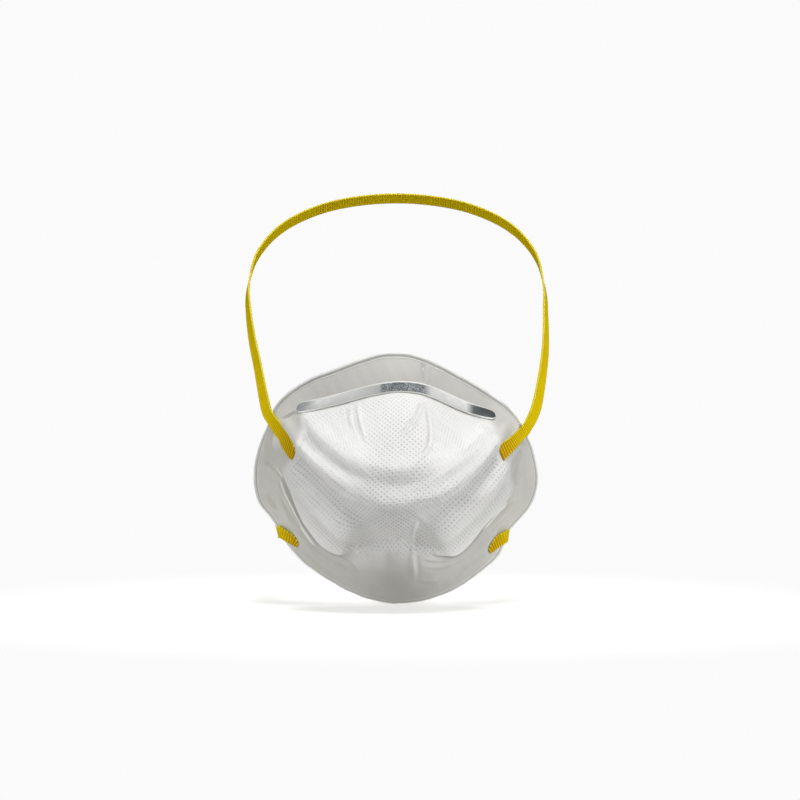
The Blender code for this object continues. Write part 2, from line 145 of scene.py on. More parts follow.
def bell(value, width):
    """Return a smooth bump that is 1 at 0 and falls off over the width."""
    return np.exp(-((value / width) ** 2))


def unit(vectors):
    """Return vectors scaled to length 1."""
    return vectors / np.maximum(np.linalg.norm(vectors, axis=-1, keepdims=True), 1e-9)


def polar(outline):
    """Return the angles from the top and the radii of outline points."""
    points = np.array(outline) - np.array(CUP_CENTRE)
    return np.arctan2(points[:, 0], points[:, 1]), np.hypot(points[:, 0], points[:, 1])


def side_radius(controls, angle):
    """Return one side's radius, from a cubic that is level at the top and the bottom."""
    angles, radii = controls
    slopes = np.diff(radii) / np.diff(angles)
    tangents = np.concatenate([[0.0], (slopes[:-1] + slopes[1:]) / 2.0, [0.0]])
    i = np.clip(np.searchsorted(angles, angle, side="right") - 1, 0, len(slopes) - 1)
    span = angles[i + 1] - angles[i]
    t = (angle - angles[i]) / span
    return (
        (2 * t ** 3 - 3 * t ** 2 + 1) * radii[i]
        + (t ** 3 - 2 * t ** 2 + t) * span * tangents[i]
        + (3 * t ** 2 - 2 * t ** 3) * radii[i + 1]
        + (t ** 3 - t ** 2) * span * tangents[i + 1]
    )


RIM = (polar(RIM_RIGHT), polar(RIM_LEFT))
FOLD = (polar(FOLD_RIGHT), polar(FOLD_LEFT))
EMBOSS = (polar(EMBOSS_RIGHT), polar(EMBOSS_LEFT))


def radius_at(outline, angle):
    """Return an outline's radius at angles that are negative on the wearer's right."""
    turn = np.abs(angle)
    return np.where(np.asarray(angle) < 0.0, side_radius(outline[0], turn), side_radius(outline[1], turn))


def rim_depth(angle):
    """Return the depth of the rim."""
    return 9.0 - 6.0 * np.cos(angle) - 11.0 * np.cos(2.0 * angle)


def fold_depth(angle):
    """Return the depth of the fold around the cup."""
    up = np.maximum(0.0, np.cos(angle))
    down = np.maximum(0.0, -np.cos(angle))
    return 6.0 - 23.0 * up ** 2 - 42.0 * down ** 2.6


def merging(angle):
    """Return how smoothly the cup runs into the skirt, 0 at a sharp fold and 1 at none."""
    turn = np.degrees(np.abs(angle))
    crisp = np.where(np.asarray(angle) < 0.0, 80.0, 88.0)
    shoulder = smoothstep(40.0, 54.0, turn) * (1.0 - smoothstep(crisp - 8.0, crisp + 10.0, turn))
    return np.maximum(shoulder, smoothstep(137.0, 152.0, turn))


def at_radius(angle, radius, depth):
    """Return points at a radius and depth."""
    x = CUP_CENTRE[0] + radius * np.sin(angle)
    z = CUP_CENTRE[1] + radius * np.cos(angle)
    return np.stack([x, depth, z], axis=-1)


def cup_point(angle, share):
    """Return points of the moulded cup, from its middle at 0 to its fold at 1."""
    up = np.maximum(0.0, np.cos(angle)) ** 2
    down = np.maximum(0.0, -np.cos(angle)) ** 2
    side = 1.0 - up - down
    power = 1.75 * up + 2.2 * side + 1.9 * down
    roundness = 1.2 * up + 1.5 * side + 1.0 * down
    drop = 1.0 - np.maximum(0.0, 1.0 - share ** power) ** (1.0 / roundness)
    depth = CUP_FRONT + (fold_depth(angle) - CUP_FRONT) * drop
    return at_radius(angle, share * radius_at(FOLD, angle), depth)


def skirt_point(angle, share):
    """Return points of the smooth skirt, from the fold at 0 to the rim at 1."""
    inner = radius_at(FOLD, angle)
    outer = radius_at(RIM, angle)
    depth = fold_depth(angle) + (rim_depth(angle) - fold_depth(angle)) * share
    depth = depth - 1.4 * np.sin(np.pi * share) * (1.0 - np.maximum(0.0, -np.cos(angle)))
    return at_radius(angle, inner + (outer - inner) * share, depth)


def smoothed(values, passes):
    """Return rows of numbers averaged with their neighbours."""
    values = np.array(values, float)
    for _ in range(passes):
        values[1:-1] = 0.25 * values[:-2] + 0.5 * values[1:-1] + 0.25 * values[2:]
    return values


def merged(grid, angles):
    """Return the grid with its fold rounded away where the cup merges into the skirt."""
    radius = np.hypot(grid[..., 0] - CUP_CENTRE[0], grid[..., 2] - CUP_CENTRE[1])
    share = np.linspace(0.0, 1.0, MERGE_STEPS)
    even = np.stack([np.interp(share * r[-1], r, y) for r, y in zip(radius.T, grid[..., 1].T)], axis=1)
    soft = smoothed(even, MERGE_PASSES)
    eased = np.stack([np.interp(r, share * r[-1], y) for r, y in zip(radius.T, soft.T)], axis=1)
    weight = merging(angles)[None, :] * smoothstep(0.35, 0.6, radius / radius[-1])
    grid = grid.copy()
    grid[..., 1] += (eased - grid[..., 1]) * weight
    return grid


def even_angles(count):
    """Return angles that are evenly spaced along the rim."""
    fine = np.linspace(0.0, 2.0 * np.pi, 2881)
    turned = np.where(fine > np.pi, fine - 2.0 * np.pi, fine)
    steps = np.linalg.norm(np.diff(skirt_point(turned, np.ones_like(turned)), axis=0), axis=1)
    travelled = np.concatenate([[0.0], np.cumsum(steps)])
    angle = np.interp(np.arange(count) * travelled[-1] / count, travelled, fine)
    return np.where(angle > np.pi, angle - 2.0 * np.pi, angle)


def curve_through(points, steps=8):
    """Return a smooth curve through a few control points."""
    controls = np.array(points, float)
    padded = np.vstack([2.0 * controls[0] - controls[1], controls, 2.0 * controls[-1] - controls[-2]])
    curve = []
    for i in range(len(controls) - 1):
        a, b, c, d = padded[i:i + 4]
        for step in range(steps):
            t = step / steps
            curve.append(0.5 * (
                2.0 * b + (c - a) * t + (2.0 * a - 5.0 * b + 4.0 * c - d) * t ** 2
                + (3.0 * b - a - 3.0 * c + d) * t ** 3
            ))
    curve.append(controls[-1])
    return np.array(curve)


# Folds moulded across the cup. They follow parabolas z = q + FOLD_BOW x^2, and each
# table gives the height at values of q on the wearer's right, in the middle and on
# the wearer's left.
FOLD_BOW = 0.0122
FOLDS_RIGHT = (
    (-70, 0.0), (-53, 0.9), (-43, -1.6), (-31, 2.3), (-19.5, -2.9), (-10.5, 1.9), (-2.0, -1.7),
    (5, 0.8), (14, 0.0), (70, 0.0),
)
FOLDS_MIDDLE = (
    (-70, 0.0), (-54, -2.4), (-43, -5.6), (-32, -6.0), (-24, -4.6), (-18, -2.8), (-11, -0.2),
    (-1.5, -1.9), (6.5, 1.2), (16, 0.0), (70, 0.0),
)
FOLDS_LEFT = (
    (-70, 0.0), (-52, 0.8), (-42, -1.5), (-31, 2.2), (-20, -2.7), (-12, 2.0), (-6, 0.5),
    (-2, 0.9), (8, 0.0), (70, 0.0),
)

# Creases: points (x, z), half width, height, and the height of the opposite bump
# that runs beside it on the side that is left when walking along the points. Their
# heights are raised by CREASE_ON_CUP and CREASE_ON_SKIRT.
CREASES = (
    (((-20.7, 38.5), (-19.8, 30.7), (-17.5, 23.3), (-15.5, 17.0)), 0.8, -0.65, 0.35),
    (((-24.5, 36.5), (-24.0, 30.0), (-22.0, 24.0)), 0.9, -0.25, 0.2),
    (((12.8, 40.5), (8.9, 31.6), (4.2, 24.3), (1.0, 19.5)), 0.9, -1.05, 0.5),
    (((13.8, 40.5), (14.6, 32.6), (15.9, 25.1), (15.4, 18.7), (12.5, 13.3), (6.9, 8.8)), 0.8, -0.85, 0.5),
    (((10.9, -21.0), (10.2, -30.7), (9.1, -36.7), (8.9, -42.0), (8.6, -52.0)), 1.2, 0.55, -0.25),
    (((-4.0, -26.0), (-3.0, -36.0), (-1.0, -45.0)), 2.2, -0.35, 0.2),
    (((-45.4, 27.5), (-49.1, 14.3), (-54.8, 1.5)), 0.8, 0.35, -0.3),
    (((36.9, 0.8), (41.9, 5.2), (47.2, 11.5), (51.7, 16.5)), 0.6, 0.45, -0.4),
    (((30.0, 10.0), (38.0, 16.0), (45.0, 22.0), (48.0, 27.0)), 1.2, -0.25, 0.15),
    (((50.0, 3.0), (51.5, 10.0), (51.0, 18.0)), 0.7, 0.3, -0.25),
    (((13.9, 58.5), (13.8, 52.0), (13.4, 46.0)), 1.1, -0.45, 0.25),
    (((-68.9, 7.9), (-66.0, 6.6), (-63.2, 4.8), (-60.5, 2.0), (-57.6, -2.0)), 0.5, 0.55, -0.5),
    (((-63.2, 19.5), (-61.5, 14.0), (-59.5, 9.0), (-56.5, 1.0)), 0.6, -0.45, 0.35),
    (((-59.5, 3.0), (-58.3, -5.0), (-54.0, -14.0), (-46.5, -28.0), (-38.0, -38.5)), 0.75, -0.5, 0.4),
    (
        ((-62.0, -6.0), (-57.5, -15.0), (-52.0, -24.5), (-43.0, -36.0), (-33.3, -44.0), (-24.0, -49.0)),
        0.7, 0.45, -0.35,
    ),
    (((-67.5, -7.5), (-64.5, -13.0), (-60.5, -18.5)), 0.8, 0.4, -0.35),
    (((-56.5, -31.5), (-49.1, -38.7), (-39.7, -46.0), (-30.0, -51.5)), 0.8, 0.4, -0.3),
    (((-36.0, -38.5), (-28.0, -44.0), (-22.0, -48.0)), 0.7, -0.35, 0.25),
    (((-29.0, -38.5), (-22.0, -43.5), (-18.0, -48.0)), 0.6, -0.3, 0.2),
    (((-20.6, -37.4), (-16.3, -39.4), (-10.6, -41.3)), 0.7, 0.5, -0.5),
    (((17.5, -38.0), (22.0, -39.2), (27.5, -38.6), (33.0, -36.0)), 0.6, -0.4, 0.3),
    (((12.0, -41.0), (19.0, -42.0), (28.0, -41.0), (35.0, -37.5)), 0.6, -0.28, 0.22),
    (((12.0, -44.5), (20.0, -45.3), (28.0, -44.0), (37.0, -39.5)), 0.6, -0.22, 0.2),
    (((11.0, -52.0), (16.0, -53.0), (22.0, -52.5)), 0.6, -0.2, 0.18),
    (((44.0, -30.0), (50.0, -24.0), (56.0, -17.0), (62.0, -12.0)), 0.9, 0.35, -0.3),
    (((55.5, -15.0), (58.5, -13.0), (61.0, -12.2)), 0.6, 0.10, -0.08),
    (((54.5, -17.6), (57.0, -16.2), (60.0, -15.0)), 0.6, 0.09, -0.07),
    (((58.5, -11.6), (61.0, -10.0), (64.0, -8.6)), 0.6, 0.12, -0.08),
    (((38.0, -41.0), (46.0, -34.0), (52.0, -26.0), (60.0, -19.0)), 0.8, 0.35, -0.25),
    (((30.0, -50.5), (40.0, -44.5), (48.0, -37.5)), 0.8, 0.3, -0.25),
    (((-49.5, 34.6), (-53.5, 32.6), (-58.5, 29.8)), 0.5, 0.45, -0.3),
    (((-49.0, 22.5), (-44.0, 18.5), (-37.0, 13.0)), 2.4, -0.5, 0.0),
    (((44.0, 27.5), (49.0, 23.0), (54.0, 19.0)), 2.2, -0.4, 0.0),
    (((52.0, 30.3), (56.0, 28.2), (61.5, 24.5)), 0.5, 0.3, -0.2),
    (((60.0, 8.0), (61.5, -2.0), (60.5, -10.0)), 1.6, -0.3, 0.15),
)


def fold_profile(table, q):
    """Return the moulded folds' height, easing between the table's entries."""
    places = np.array([row[0] for row in table], float)
    heights = np.array([row[1] for row in table], float)
    i = np.clip(np.searchsorted(places, q, side="right") - 1, 0, len(places) - 2)
    t = smoothstep(0.0, 1.0, (q - places[i]) / (places[i + 1] - places[i]))
    return heights[i] + (heights[i + 1] - heights[i]) * t


def moulded_folds(x, z):
    """Return the height of the folds across the cup at (x, z)."""
    q = z - FOLD_BOW * x * x
    left = smoothstep(12.0, 27.0, x)
    right = smoothstep(15.0, 29.0, -x)
    return (
        fold_profile(FOLDS_LEFT, q) * left + fold_profile(FOLDS_RIGHT, q) * right
        + fold_profile(FOLDS_MIDDLE, q) * (1.0 - left - right)
    )


def crease_height(x, z, points, width, height, beside):
    """Return the height of one crease, tapered at both ends."""
    curve = curve_through(points)
    lengths = np.linalg.norm(np.diff(curve, axis=0), axis=1)
    before = np.concatenate([[0.0], np.cumsum(lengths)])
    near = np.full(x.shape, 1e9)
    signed = np.zeros(x.shape)
    along = np.zeros(x.shape)
    for i, length in enumerate(lengths):
        ahead = (curve[i + 1] - curve[i]) / length
        dx = x - curve[i][0]
        dz = z - curve[i][1]
        t = np.clip(dx * ahead[0] + dz * ahead[1], 0.0, length)
        distance = np.hypot(dx - ahead[0] * t, dz - ahead[1] * t)
        closer = distance < near
        near = np.where(closer, distance, near)
        signed = np.where(closer, np.sign(ahead[0] * dz - ahead[1] * dx) * distance, signed)
        along = np.where(closer, (before[i] + t) / before[-1], along)
    taper = smoothstep(0.0, 0.22, along) * smoothstep(0.0, 0.3, 1.0 - along)
    return taper * (height * bell(near, width) + beside * bell(signed - 1.9 * width, 1.1 * width))


def creases(x, z):
    """Return the summed height of all creases at (x, z)."""
    total = np.zeros(x.shape)
    for points, width, height, beside in CREASES:
        xs = [p[0] for p in points]
        zs = [p[1] for p in points]
        reach = 5.0 * width + 2.0
        close = (
            (x > min(xs) - reach) & (x < max(xs) + reach) & (z > min(zs) - reach) & (z < max(zs) + reach)
        )
        total[close] += crease_height(x[close], z[close], points, width, height, beside)
    return total


def unevenness(x, z):
    """Return a gentle waviness in the moulded web."""
    return (
        0.10 * np.sin(0.21 * x + 1.3) * np.sin(0.17 * z + 0.4)
        + 0.06 * np.sin(0.43 * x - 0.31 * z + 2.1) + 0.04 * np.sin(0.9 * x + 0.55 * z)
    )


def surface_normals(grid):
    """Return forward-facing normals of a grid whose columns run round the cup."""
    around = np.roll(grid, -1, axis=1) - np.roll(grid, 1, axis=1)
    outward = np.gradient(grid, axis=0)
    return unit(np.cross(around, outward))


class Web:
    """The mask's smooth surface as a grid of rows from the middle to the rim."""

    def __init__(self, columns, cup_rows, skirt_rows, rim_rows):
        angles = even_angles(columns)
        spread = 1.0 - (1.0 - np.linspace(0.012, 1.0, cup_rows)) ** 1.5
        cup = cup_point(angles[None, :], spread[:, None])
        slant = np.linalg.norm(
            skirt_point(angles, np.ones_like(angles)) - skirt_point(angles, np.zeros_like(angles)), axis=1
        )
        band = np.minimum(RIM_BAND, 0.45 * slant) / slant
        edge = EDGE_RADIUS / slant
        flat = np.linspace(0.0, 1.0, skirt_rows + 2)[1:-1, None] * (1.0 - band)[None, :]
        last = (1.0 - band)[None, :] + np.linspace(0.0, 1.0, rim_rows)[:, None] * (band - edge)[None, :]
        share = np.vstack([flat, last])
        skirt = skirt_point(angles[None, :], share)
        self.angle = np.tile(angles, (cup_rows + skirt_rows + rim_rows, 1))
        self.grid = merged(np.vstack([cup, skirt]), angles)
        self.cup = np.vstack([np.tile(spread[:, None], (1, columns)), np.ones_like(share)])
        self.skirt = np.vstack([np.zeros((cup_rows, columns)), share])
        self.from_rim = (1.0 - self.skirt) * slant[None, :]
        self.normal = surface_normals(self.grid)
        self.x = self.grid[..., 0]
        self.z = self.grid[..., 2]
        self.on_cup = np.zeros(self.x.shape, bool)
        self.on_cup[:cup_rows] = True
        radius = np.hypot(self.x - CUP_CENTRE[0], self.z - CUP_CENTRE[1])
        self.beyond = radius - radius_at(EMBOSS, self.angle)

    def folds(self):
        """Return the height of the moulded folds, which die out at the cup's edge."""
        fade = np.where(self.on_cup, 1.0, 1.0 - smoothstep(0.0, 0.35, self.skirt) * merging(self.angle))
        fade = fade * (1.0 - 0.6 * smoothstep(-5.0, 1.0, self.beyond))
        fade = np.where(self.on_cup, fade, fade * merging(self.angle))
        return moulded_folds(self.x, self.z) * fade

    def overhang(self):
        """Return where round the cup its lower edge hangs over the skirt."""
        turn = np.degrees(np.abs(self.angle))
        start = np.where(self.angle < 0.0, 76.0, 88.0)
        return smoothstep(start, start + 12.0, turn) * (1.0 - smoothstep(134.0, 143.0, turn))

    def lip(self):
        """Return the height of the cup's overhanging lower edge."""
        rise = smoothstep(0.88, 1.0, self.cup) ** 1.6
        step = 1.0 - smoothstep(0.0, 0.05, self.skirt)
        return LIP_HEIGHT * self.overhang() * rise * np.where(self.on_cup, 1.0, step)

    def weld(self):
        """Return the height of the welded band round the rim."""
        strength = 0.3 + 0.7 * (1.0 - smoothstep(math.radians(55.0), math.radians(85.0), np.abs(self.angle)))
        t = self.from_rim
        band = 0.5 * (1.0 - smoothstep(1.2, 1.9, t)) - 0.25 * bell(t - 2.3, 0.45)
        band = band + 0.4 * bell(t - RIM_RIDGE, 0.32)
        return np.where(self.on_cup, 0.0, strength * band)

    def moved(self, height):
        """Return the grid moved along its normals."""
        return self.grid + self.normal * height[..., None]


def placed(points):
    """Return millimetre points in the frame's metres."""
    return (np.asarray(points, float).reshape(-1, 3) - ORIGIN) * MM


def new_piece(name, points, faces, material, attributes=None):
    """Build a smooth-shaded mesh piece."""
    mesh = bpy.data.meshes.new(name)
    mesh.from_pydata(placed(points).tolist(), [], faces)
    mesh.update()
    mesh.shade_smooth()
    for label, values in (attributes or {}).items():
        layer = mesh.attributes.new(label, "FLOAT", "POINT")
        layer.data.foreach_set("value", np.asarray(values, np.float32).ravel())
    mesh.materials.append(material)
    piece = bpy.data.objects.new(name, mesh)
    bpy.context.scene.collection.objects.link(piece)
    return piece


def ring_faces(rows, columns):
    """Return the quads between neighbouring closed rows."""
    row, column = np.meshgrid(np.arange(rows - 1), np.arange(columns), indexing="ij")
    a = row * columns + column
    b = row * columns + (column + 1) % columns
    return np.stack([a, b, b + columns, a + columns], axis=-1).reshape(-1, 4).tolist()


def closed_faces(rows, columns):
    """Return the faces of closed rows whose two ends meet in two points after them."""
    apex = rows * columns
    last = apex - columns
    first_cap = [(apex, (i + 1) % columns, i) for i in range(columns)]
    last_cap = [(last + i, last + (i + 1) % columns, apex + 1) for i in range(columns)]
    return ring_faces(rows, columns) + first_cap + last_cap


def cover_maps(web, detail):
    """Return the maps the cover's material reads, each with its value beyond the front."""
    skirt = np.where(web.on_cup, smoothstep(-2.0, 3.0, web.beyond), 1.0)
    chin = smoothstep(math.radians(140.0), math.radians(152.0), np.abs(web.angle))
    skirt = skirt + (smoothstep(-3.0, 9.0, web.beyond) - skirt) * chin
    clear = 1.0 - smoothstep(-3.2, 0.4 + 4.0 * chin, web.beyond)
    stretch = smoothstep(10.0, 24.0, np.abs(web.x)) * smoothstep(-16.0, 4.0, web.z - 0.01 * web.x ** 2)
    stretch = stretch * (1.0 - 0.8 * smoothstep(0.8, 0.93, web.cup))
    # Painted shade: the colour is darkened where the folds and creases sink in.
    painted_valley_shade = np.clip(-(web.folds() + detail), 0.0, 2.0) / 2.0
    # Painted highlight: the rim's raised bead and its ridge line are lightened in the colour.
    rim = 1.0 - smoothstep(1.2, 2.0, web.from_rim) + 0.9 * bell(web.from_rim - RIM_RIDGE, 0.35)
    # Painted highlight and shade for the material: "line" lightens the cup's overhanging lower edge, and
    # darkens the strip just beyond it and the rim's groove.
    under = smoothstep(0.0, 0.02, web.skirt) * (1.0 - smoothstep(0.06, 0.2, web.skirt))
    line = np.where(web.on_cup, smoothstep(0.96, 0.985, web.cup), -under) * web.overhang()
    line = line - 0.9 * bell(web.from_rim - 2.25, 0.5)
    out = np.stack([web.x - CUP_CENTRE[0], web.z - CUP_CENTRE[1]])
    radius = np.hypot(out[0], out[1])
    travel = np.cumsum(np.linalg.norm(np.diff(web.grid, axis=0), axis=2), axis=0)
    travel = np.vstack([radius[:1], radius[:1] + travel])
    across, up = out * np.sqrt(travel / radius) * MM
    return {
        "across": (across, 0.0), "up": (up, 0.0), "skirt": (skirt, 1.0), "emboss": (clear, 0.0),
        "stretch": (stretch, 0.0), "painted_valley_shade": (painted_valley_shade, 0.0), "rim": (np.where(web.on_cup, 0.0, rim), 1.0),
        "line": (line, 0.0),
    }


def make_outer_web(material):
    """Build the embossed outer web, its welded rim and the flange behind it."""
    web = Web(*COVER_GRID)
    detail = creases(web.x, web.z) * np.where(web.on_cup, CREASE_ON_CUP, CREASE_ON_SKIRT)
    detail = detail * (1.0 - 0.8 * (1.0 - smoothstep(2.0, 4.0, web.from_rim)))
    height = web.folds() + web.lip() + web.weld() + detail + unevenness(web.x, web.z)
    front = web.moved(height)
    middle = np.array([[0.0, CUP_FRONT - height[0].mean(), CUP_CENTRE[1]]])

    normal = web.normal[-1]
    along = np.roll(web.grid[-1], -1, axis=0) - np.roll(web.grid[-1], 1, axis=0)
    outward = unit(np.cross(along, normal))
    outward *= np.sign(np.sum(outward * (web.grid[-1] - web.grid[-4]), axis=1))[:, None]
    centre = front[-1] - normal * EDGE_RADIUS
    turn = np.linspace(0.0, np.pi, EDGE_ROWS + 1)[1:, None, None]
    edge = centre + EDGE_RADIUS * (outward * np.sin(turn) + normal * np.cos(turn))
    inset = np.linspace(0.0, 1.0, FLANGE_ROWS)[1:, None, None]
    slope = unit(web.grid[-8] - web.grid[-1])
    wave = FLANGE_WAVE * np.sin(inset * np.pi * 2.0)
    flange = edge[-1] + slope * inset * FLANGE_WIDTH - normal * wave
    tuck = flange[-1] + normal * TUCK_DEPTH
    picks = np.linspace(len(web.grid) - COVER_GRID[3], 0, UNDER_ROWS).astype(int)
    under = web.moved(web.folds() - UNDER_DEPTH)[picks]
    rows = np.concatenate([front, edge, flange, tuck[None], under])
    points = np.concatenate([rows.reshape(-1, 3), middle, middle + np.array([[0.0, 1.0, 0.0]])])

    spare = len(points) - web.x.size
    attributes = {
        label: np.concatenate([values.ravel(), np.full(spare, fill)])
        for label, (values, fill) in cover_maps(web, detail).items()
    }
    attributes["emboss"][-2] = 1.0
    attributes["skirt"][-2] = 0.0
    return new_piece("cup_outer_web", points, closed_faces(*rows.shape[:2]), material, attributes)


def make_inner_layer(name, material, depth, thickness, size, inset):
    """Build a layer that follows the cup at a depth below its outside."""
    web = Web(*size)
    thin = np.where(web.on_cup, 1.0, 1.0 + (SKIRT_DEPTH / CUP_DEPTH - 1.0) * web.skirt)
    folds = web.folds() + unevenness(web.x, web.z)
    keep = len(web.grid) - inset
    near = web.moved(folds - depth * thin)[:keep]
    far = web.moved(folds - (depth + thickness) * thin)[:keep][::-1]
    rows = np.concatenate([near, far])
    front = np.array([[0.0, CUP_FRONT + depth, CUP_CENTRE[1]]])
    points = np.concatenate([rows.reshape(-1, 3), front, front + np.array([[0.0, thickness, 0.0]])])
    skirt = np.where(web.on_cup, 0.0, 1.0)[:keep]
    values = np.concatenate([skirt.ravel(), skirt[::-1].ravel(), [0.0, 0.0]])
    return new_piece(name, points, closed_faces(*rows.shape[:2]), material, {"skirt": values})


def sweep(name, places, normals, reaches, section, material, attributes=None):
    """Build a closed strip by sweeping a cross-section along its frames."""
    direction = unit(np.gradient(places, axis=0))
    normals = unit(normals - direction * np.sum(normals * direction, axis=1, keepdims=True))
    across = np.cross(normals, direction)
    section = np.array(section)
    rings = (
        places[:, None, :]
        + across[:, None, :] * section[None, :, 0, None] * reaches[:, 0, None, None]
        + normals[:, None, :] * section[None, :, 1, None] * reaches[:, 1, None, None]
    )
    count, size = len(places), len(section)
    faces = ring_faces(count, size)
    faces.append(tuple(range(size)))
    faces.append(tuple(reversed(range((count - 1) * size, count * size))))
    made = {label: np.repeat(values, size) for label, values in (attributes or {}).items()}
    made["across"] = np.tile(section[:, 0], count)
    return new_piece(name, rings.reshape(-1, 3), [face[::-1] for face in faces], material, made)


def resample(points, columns, step):
    """Return points and companion columns at even distances along a curve."""
    points = np.asarray(points, float)
    travelled = np.concatenate([[0.0], np.cumsum(np.linalg.norm(np.diff(points, axis=0), axis=1))])
    count = max(2, int(round(travelled[-1] / step)) + 1)
    marks = np.linspace(0.0, travelled[-1], count)
    even = np.stack([np.interp(marks, travelled, points[:, i]) for i in range(3)], axis=1)
    extra = np.stack([np.interp(marks, travelled, columns[:, i]) for i in range(columns.shape[1])], axis=1)
    return even, extra, marks


# ---------------------------------------------------------------- materials

def srgb(red, green, blue):
    """Return a linear colour from 0-255 display values."""
    parts = [channel / 255.0 for channel in (red, green, blue)]
    return tuple(c / 12.92 if c <= 0.04045 else ((c + 0.055) / 1.055) ** 2.4 for c in parts) + (1.0,)


class Value:
    """An output of one of a material's nodes. Arithmetic on it adds math nodes."""

    def __init__(self, shader, socket):
        self.shader = shader
        self.socket = socket

    def __add__(self, other):
        return self.shader.math("ADD", self, other)

    def __sub__(self, other):
        return self.shader.math("SUBTRACT", self, other)

    def __rsub__(self, other):
        return self.shader.math("SUBTRACT", other, self)

    def __mul__(self, other):
        return self.shader.math("MULTIPLY", self, other)

    def __abs__(self):
        return self.shader.math("ABSOLUTE", self)


class Shader:
    """One material and the nodes that make its pattern."""

    def __init__(self, name, roughness, metallic=0.0, sheen=0.0):
        self.material = bpy.data.materials.new(name)
        self.material.use_nodes = True
        self.tree = self.material.node_tree
        self.body = self.tree.nodes["Principled BSDF"]
        self.body.inputs["Roughness"].default_value = roughness
        self.body.inputs["Metallic"].default_value = metallic
        self.body.inputs["Sheen Weight"].default_value = sheen
        self.place = self.node("ShaderNodeTexCoord", {}, "Object")
        self.x = self.node("ShaderNodeSeparateXYZ", {0: self.place}, "X")
        self.z = self.node("ShaderNodeSeparateXYZ", {0: self.place}, "Z")

    def link(self, source, target):
        """Link a value to an input, or set the input to a number or a colour."""
        if isinstance(source, Value):
            self.tree.links.new(source.socket, target)
        else:
            target.default_value = source

    def node(self, kind, inputs, output=0, **settings):
        """Add a node with its inputs and settings, and return one of its outputs."""
        made = self.tree.nodes.new(kind)
        for name, setting in settings.items():
            setattr(made, name, setting)
        for name, source in inputs.items():
            self.link(source, made.inputs[name])
        return Value(self, made.outputs[output])

    def math(self, operation, *operands):
        """Return the result of a math node."""
        return self.node("ShaderNodeMath", dict(enumerate(operands)), operation=operation)

    def attribute(self, name):
        """Return a vertex attribute's value."""
        return self.node("ShaderNodeAttribute", {}, "Fac", attribute_name=name)

    def noise(self, scale, detail=2.0, roughness=0.5, place=None):
        """Return a noise pattern with a scale per metre."""
        inputs = {"Vector": place or self.place, "Scale": scale, "Detail": detail, "Roughness": roughness}
        return self.node("ShaderNodeTexNoise", inputs, "Fac")

    def cells(self, scale):
        """Return the distance to the nearest of scattered points."""
        return self.node("ShaderNodeTexVoronoi", {"Vector": self.place, "Scale": scale}, "Distance")

    def between(self, value, low, high, to_low=0.0, to_high=1.0):
        """Return a value eased from one range onto another."""
        inputs = dict(enumerate((value, low, high, to_low, to_high)))
        return self.node("ShaderNodeMapRange", inputs, interpolation_type="SMOOTHSTEP")

    def mix(self, share, a, b):
        """Return a mix of two colours."""
        return self.node("ShaderNodeMix", {0: share, 6: a, 7: b}, 2, data_type="RGBA")

    def scaled(self, colour, factor):
        """Return a colour multiplied by a value."""
        return self.node("ShaderNodeVectorMath", {0: colour, "Scale": factor}, operation="SCALE")

    def stretched(self, x, y, z):
        """Return the position scaled by a different factor along each axis."""
        return self.node("ShaderNodeVectorMath", {0: self.place, 1: (x, y, z)}, operation="MULTIPLY")

    def bump(self, height, distance, strength=1.0, below=None):
        """Return a normal roughened by a height pattern, in metres, on top of another."""
        inputs = {"Height": height, "Distance": distance, "Strength": strength}
        if below is not None:
            inputs["Normal"] = below
        return self.node("ShaderNodeBump", inputs)

    def finish(self, colour, normal=None, roughness=None):
        """Connect the results to the surface and return the material."""
        for name, result in (("Base Color", colour), ("Normal", normal), ("Roughness", roughness)):
            if result is not None:
                self.link(result, self.body.inputs[name])
        return self.material


EMBOSS_PITCH = (2.9 * MM, 2.65 * MM)
EMBOSS_SLANT = -0.09
STREAKS = 420.0
STREAK_CENTRE = -75.0


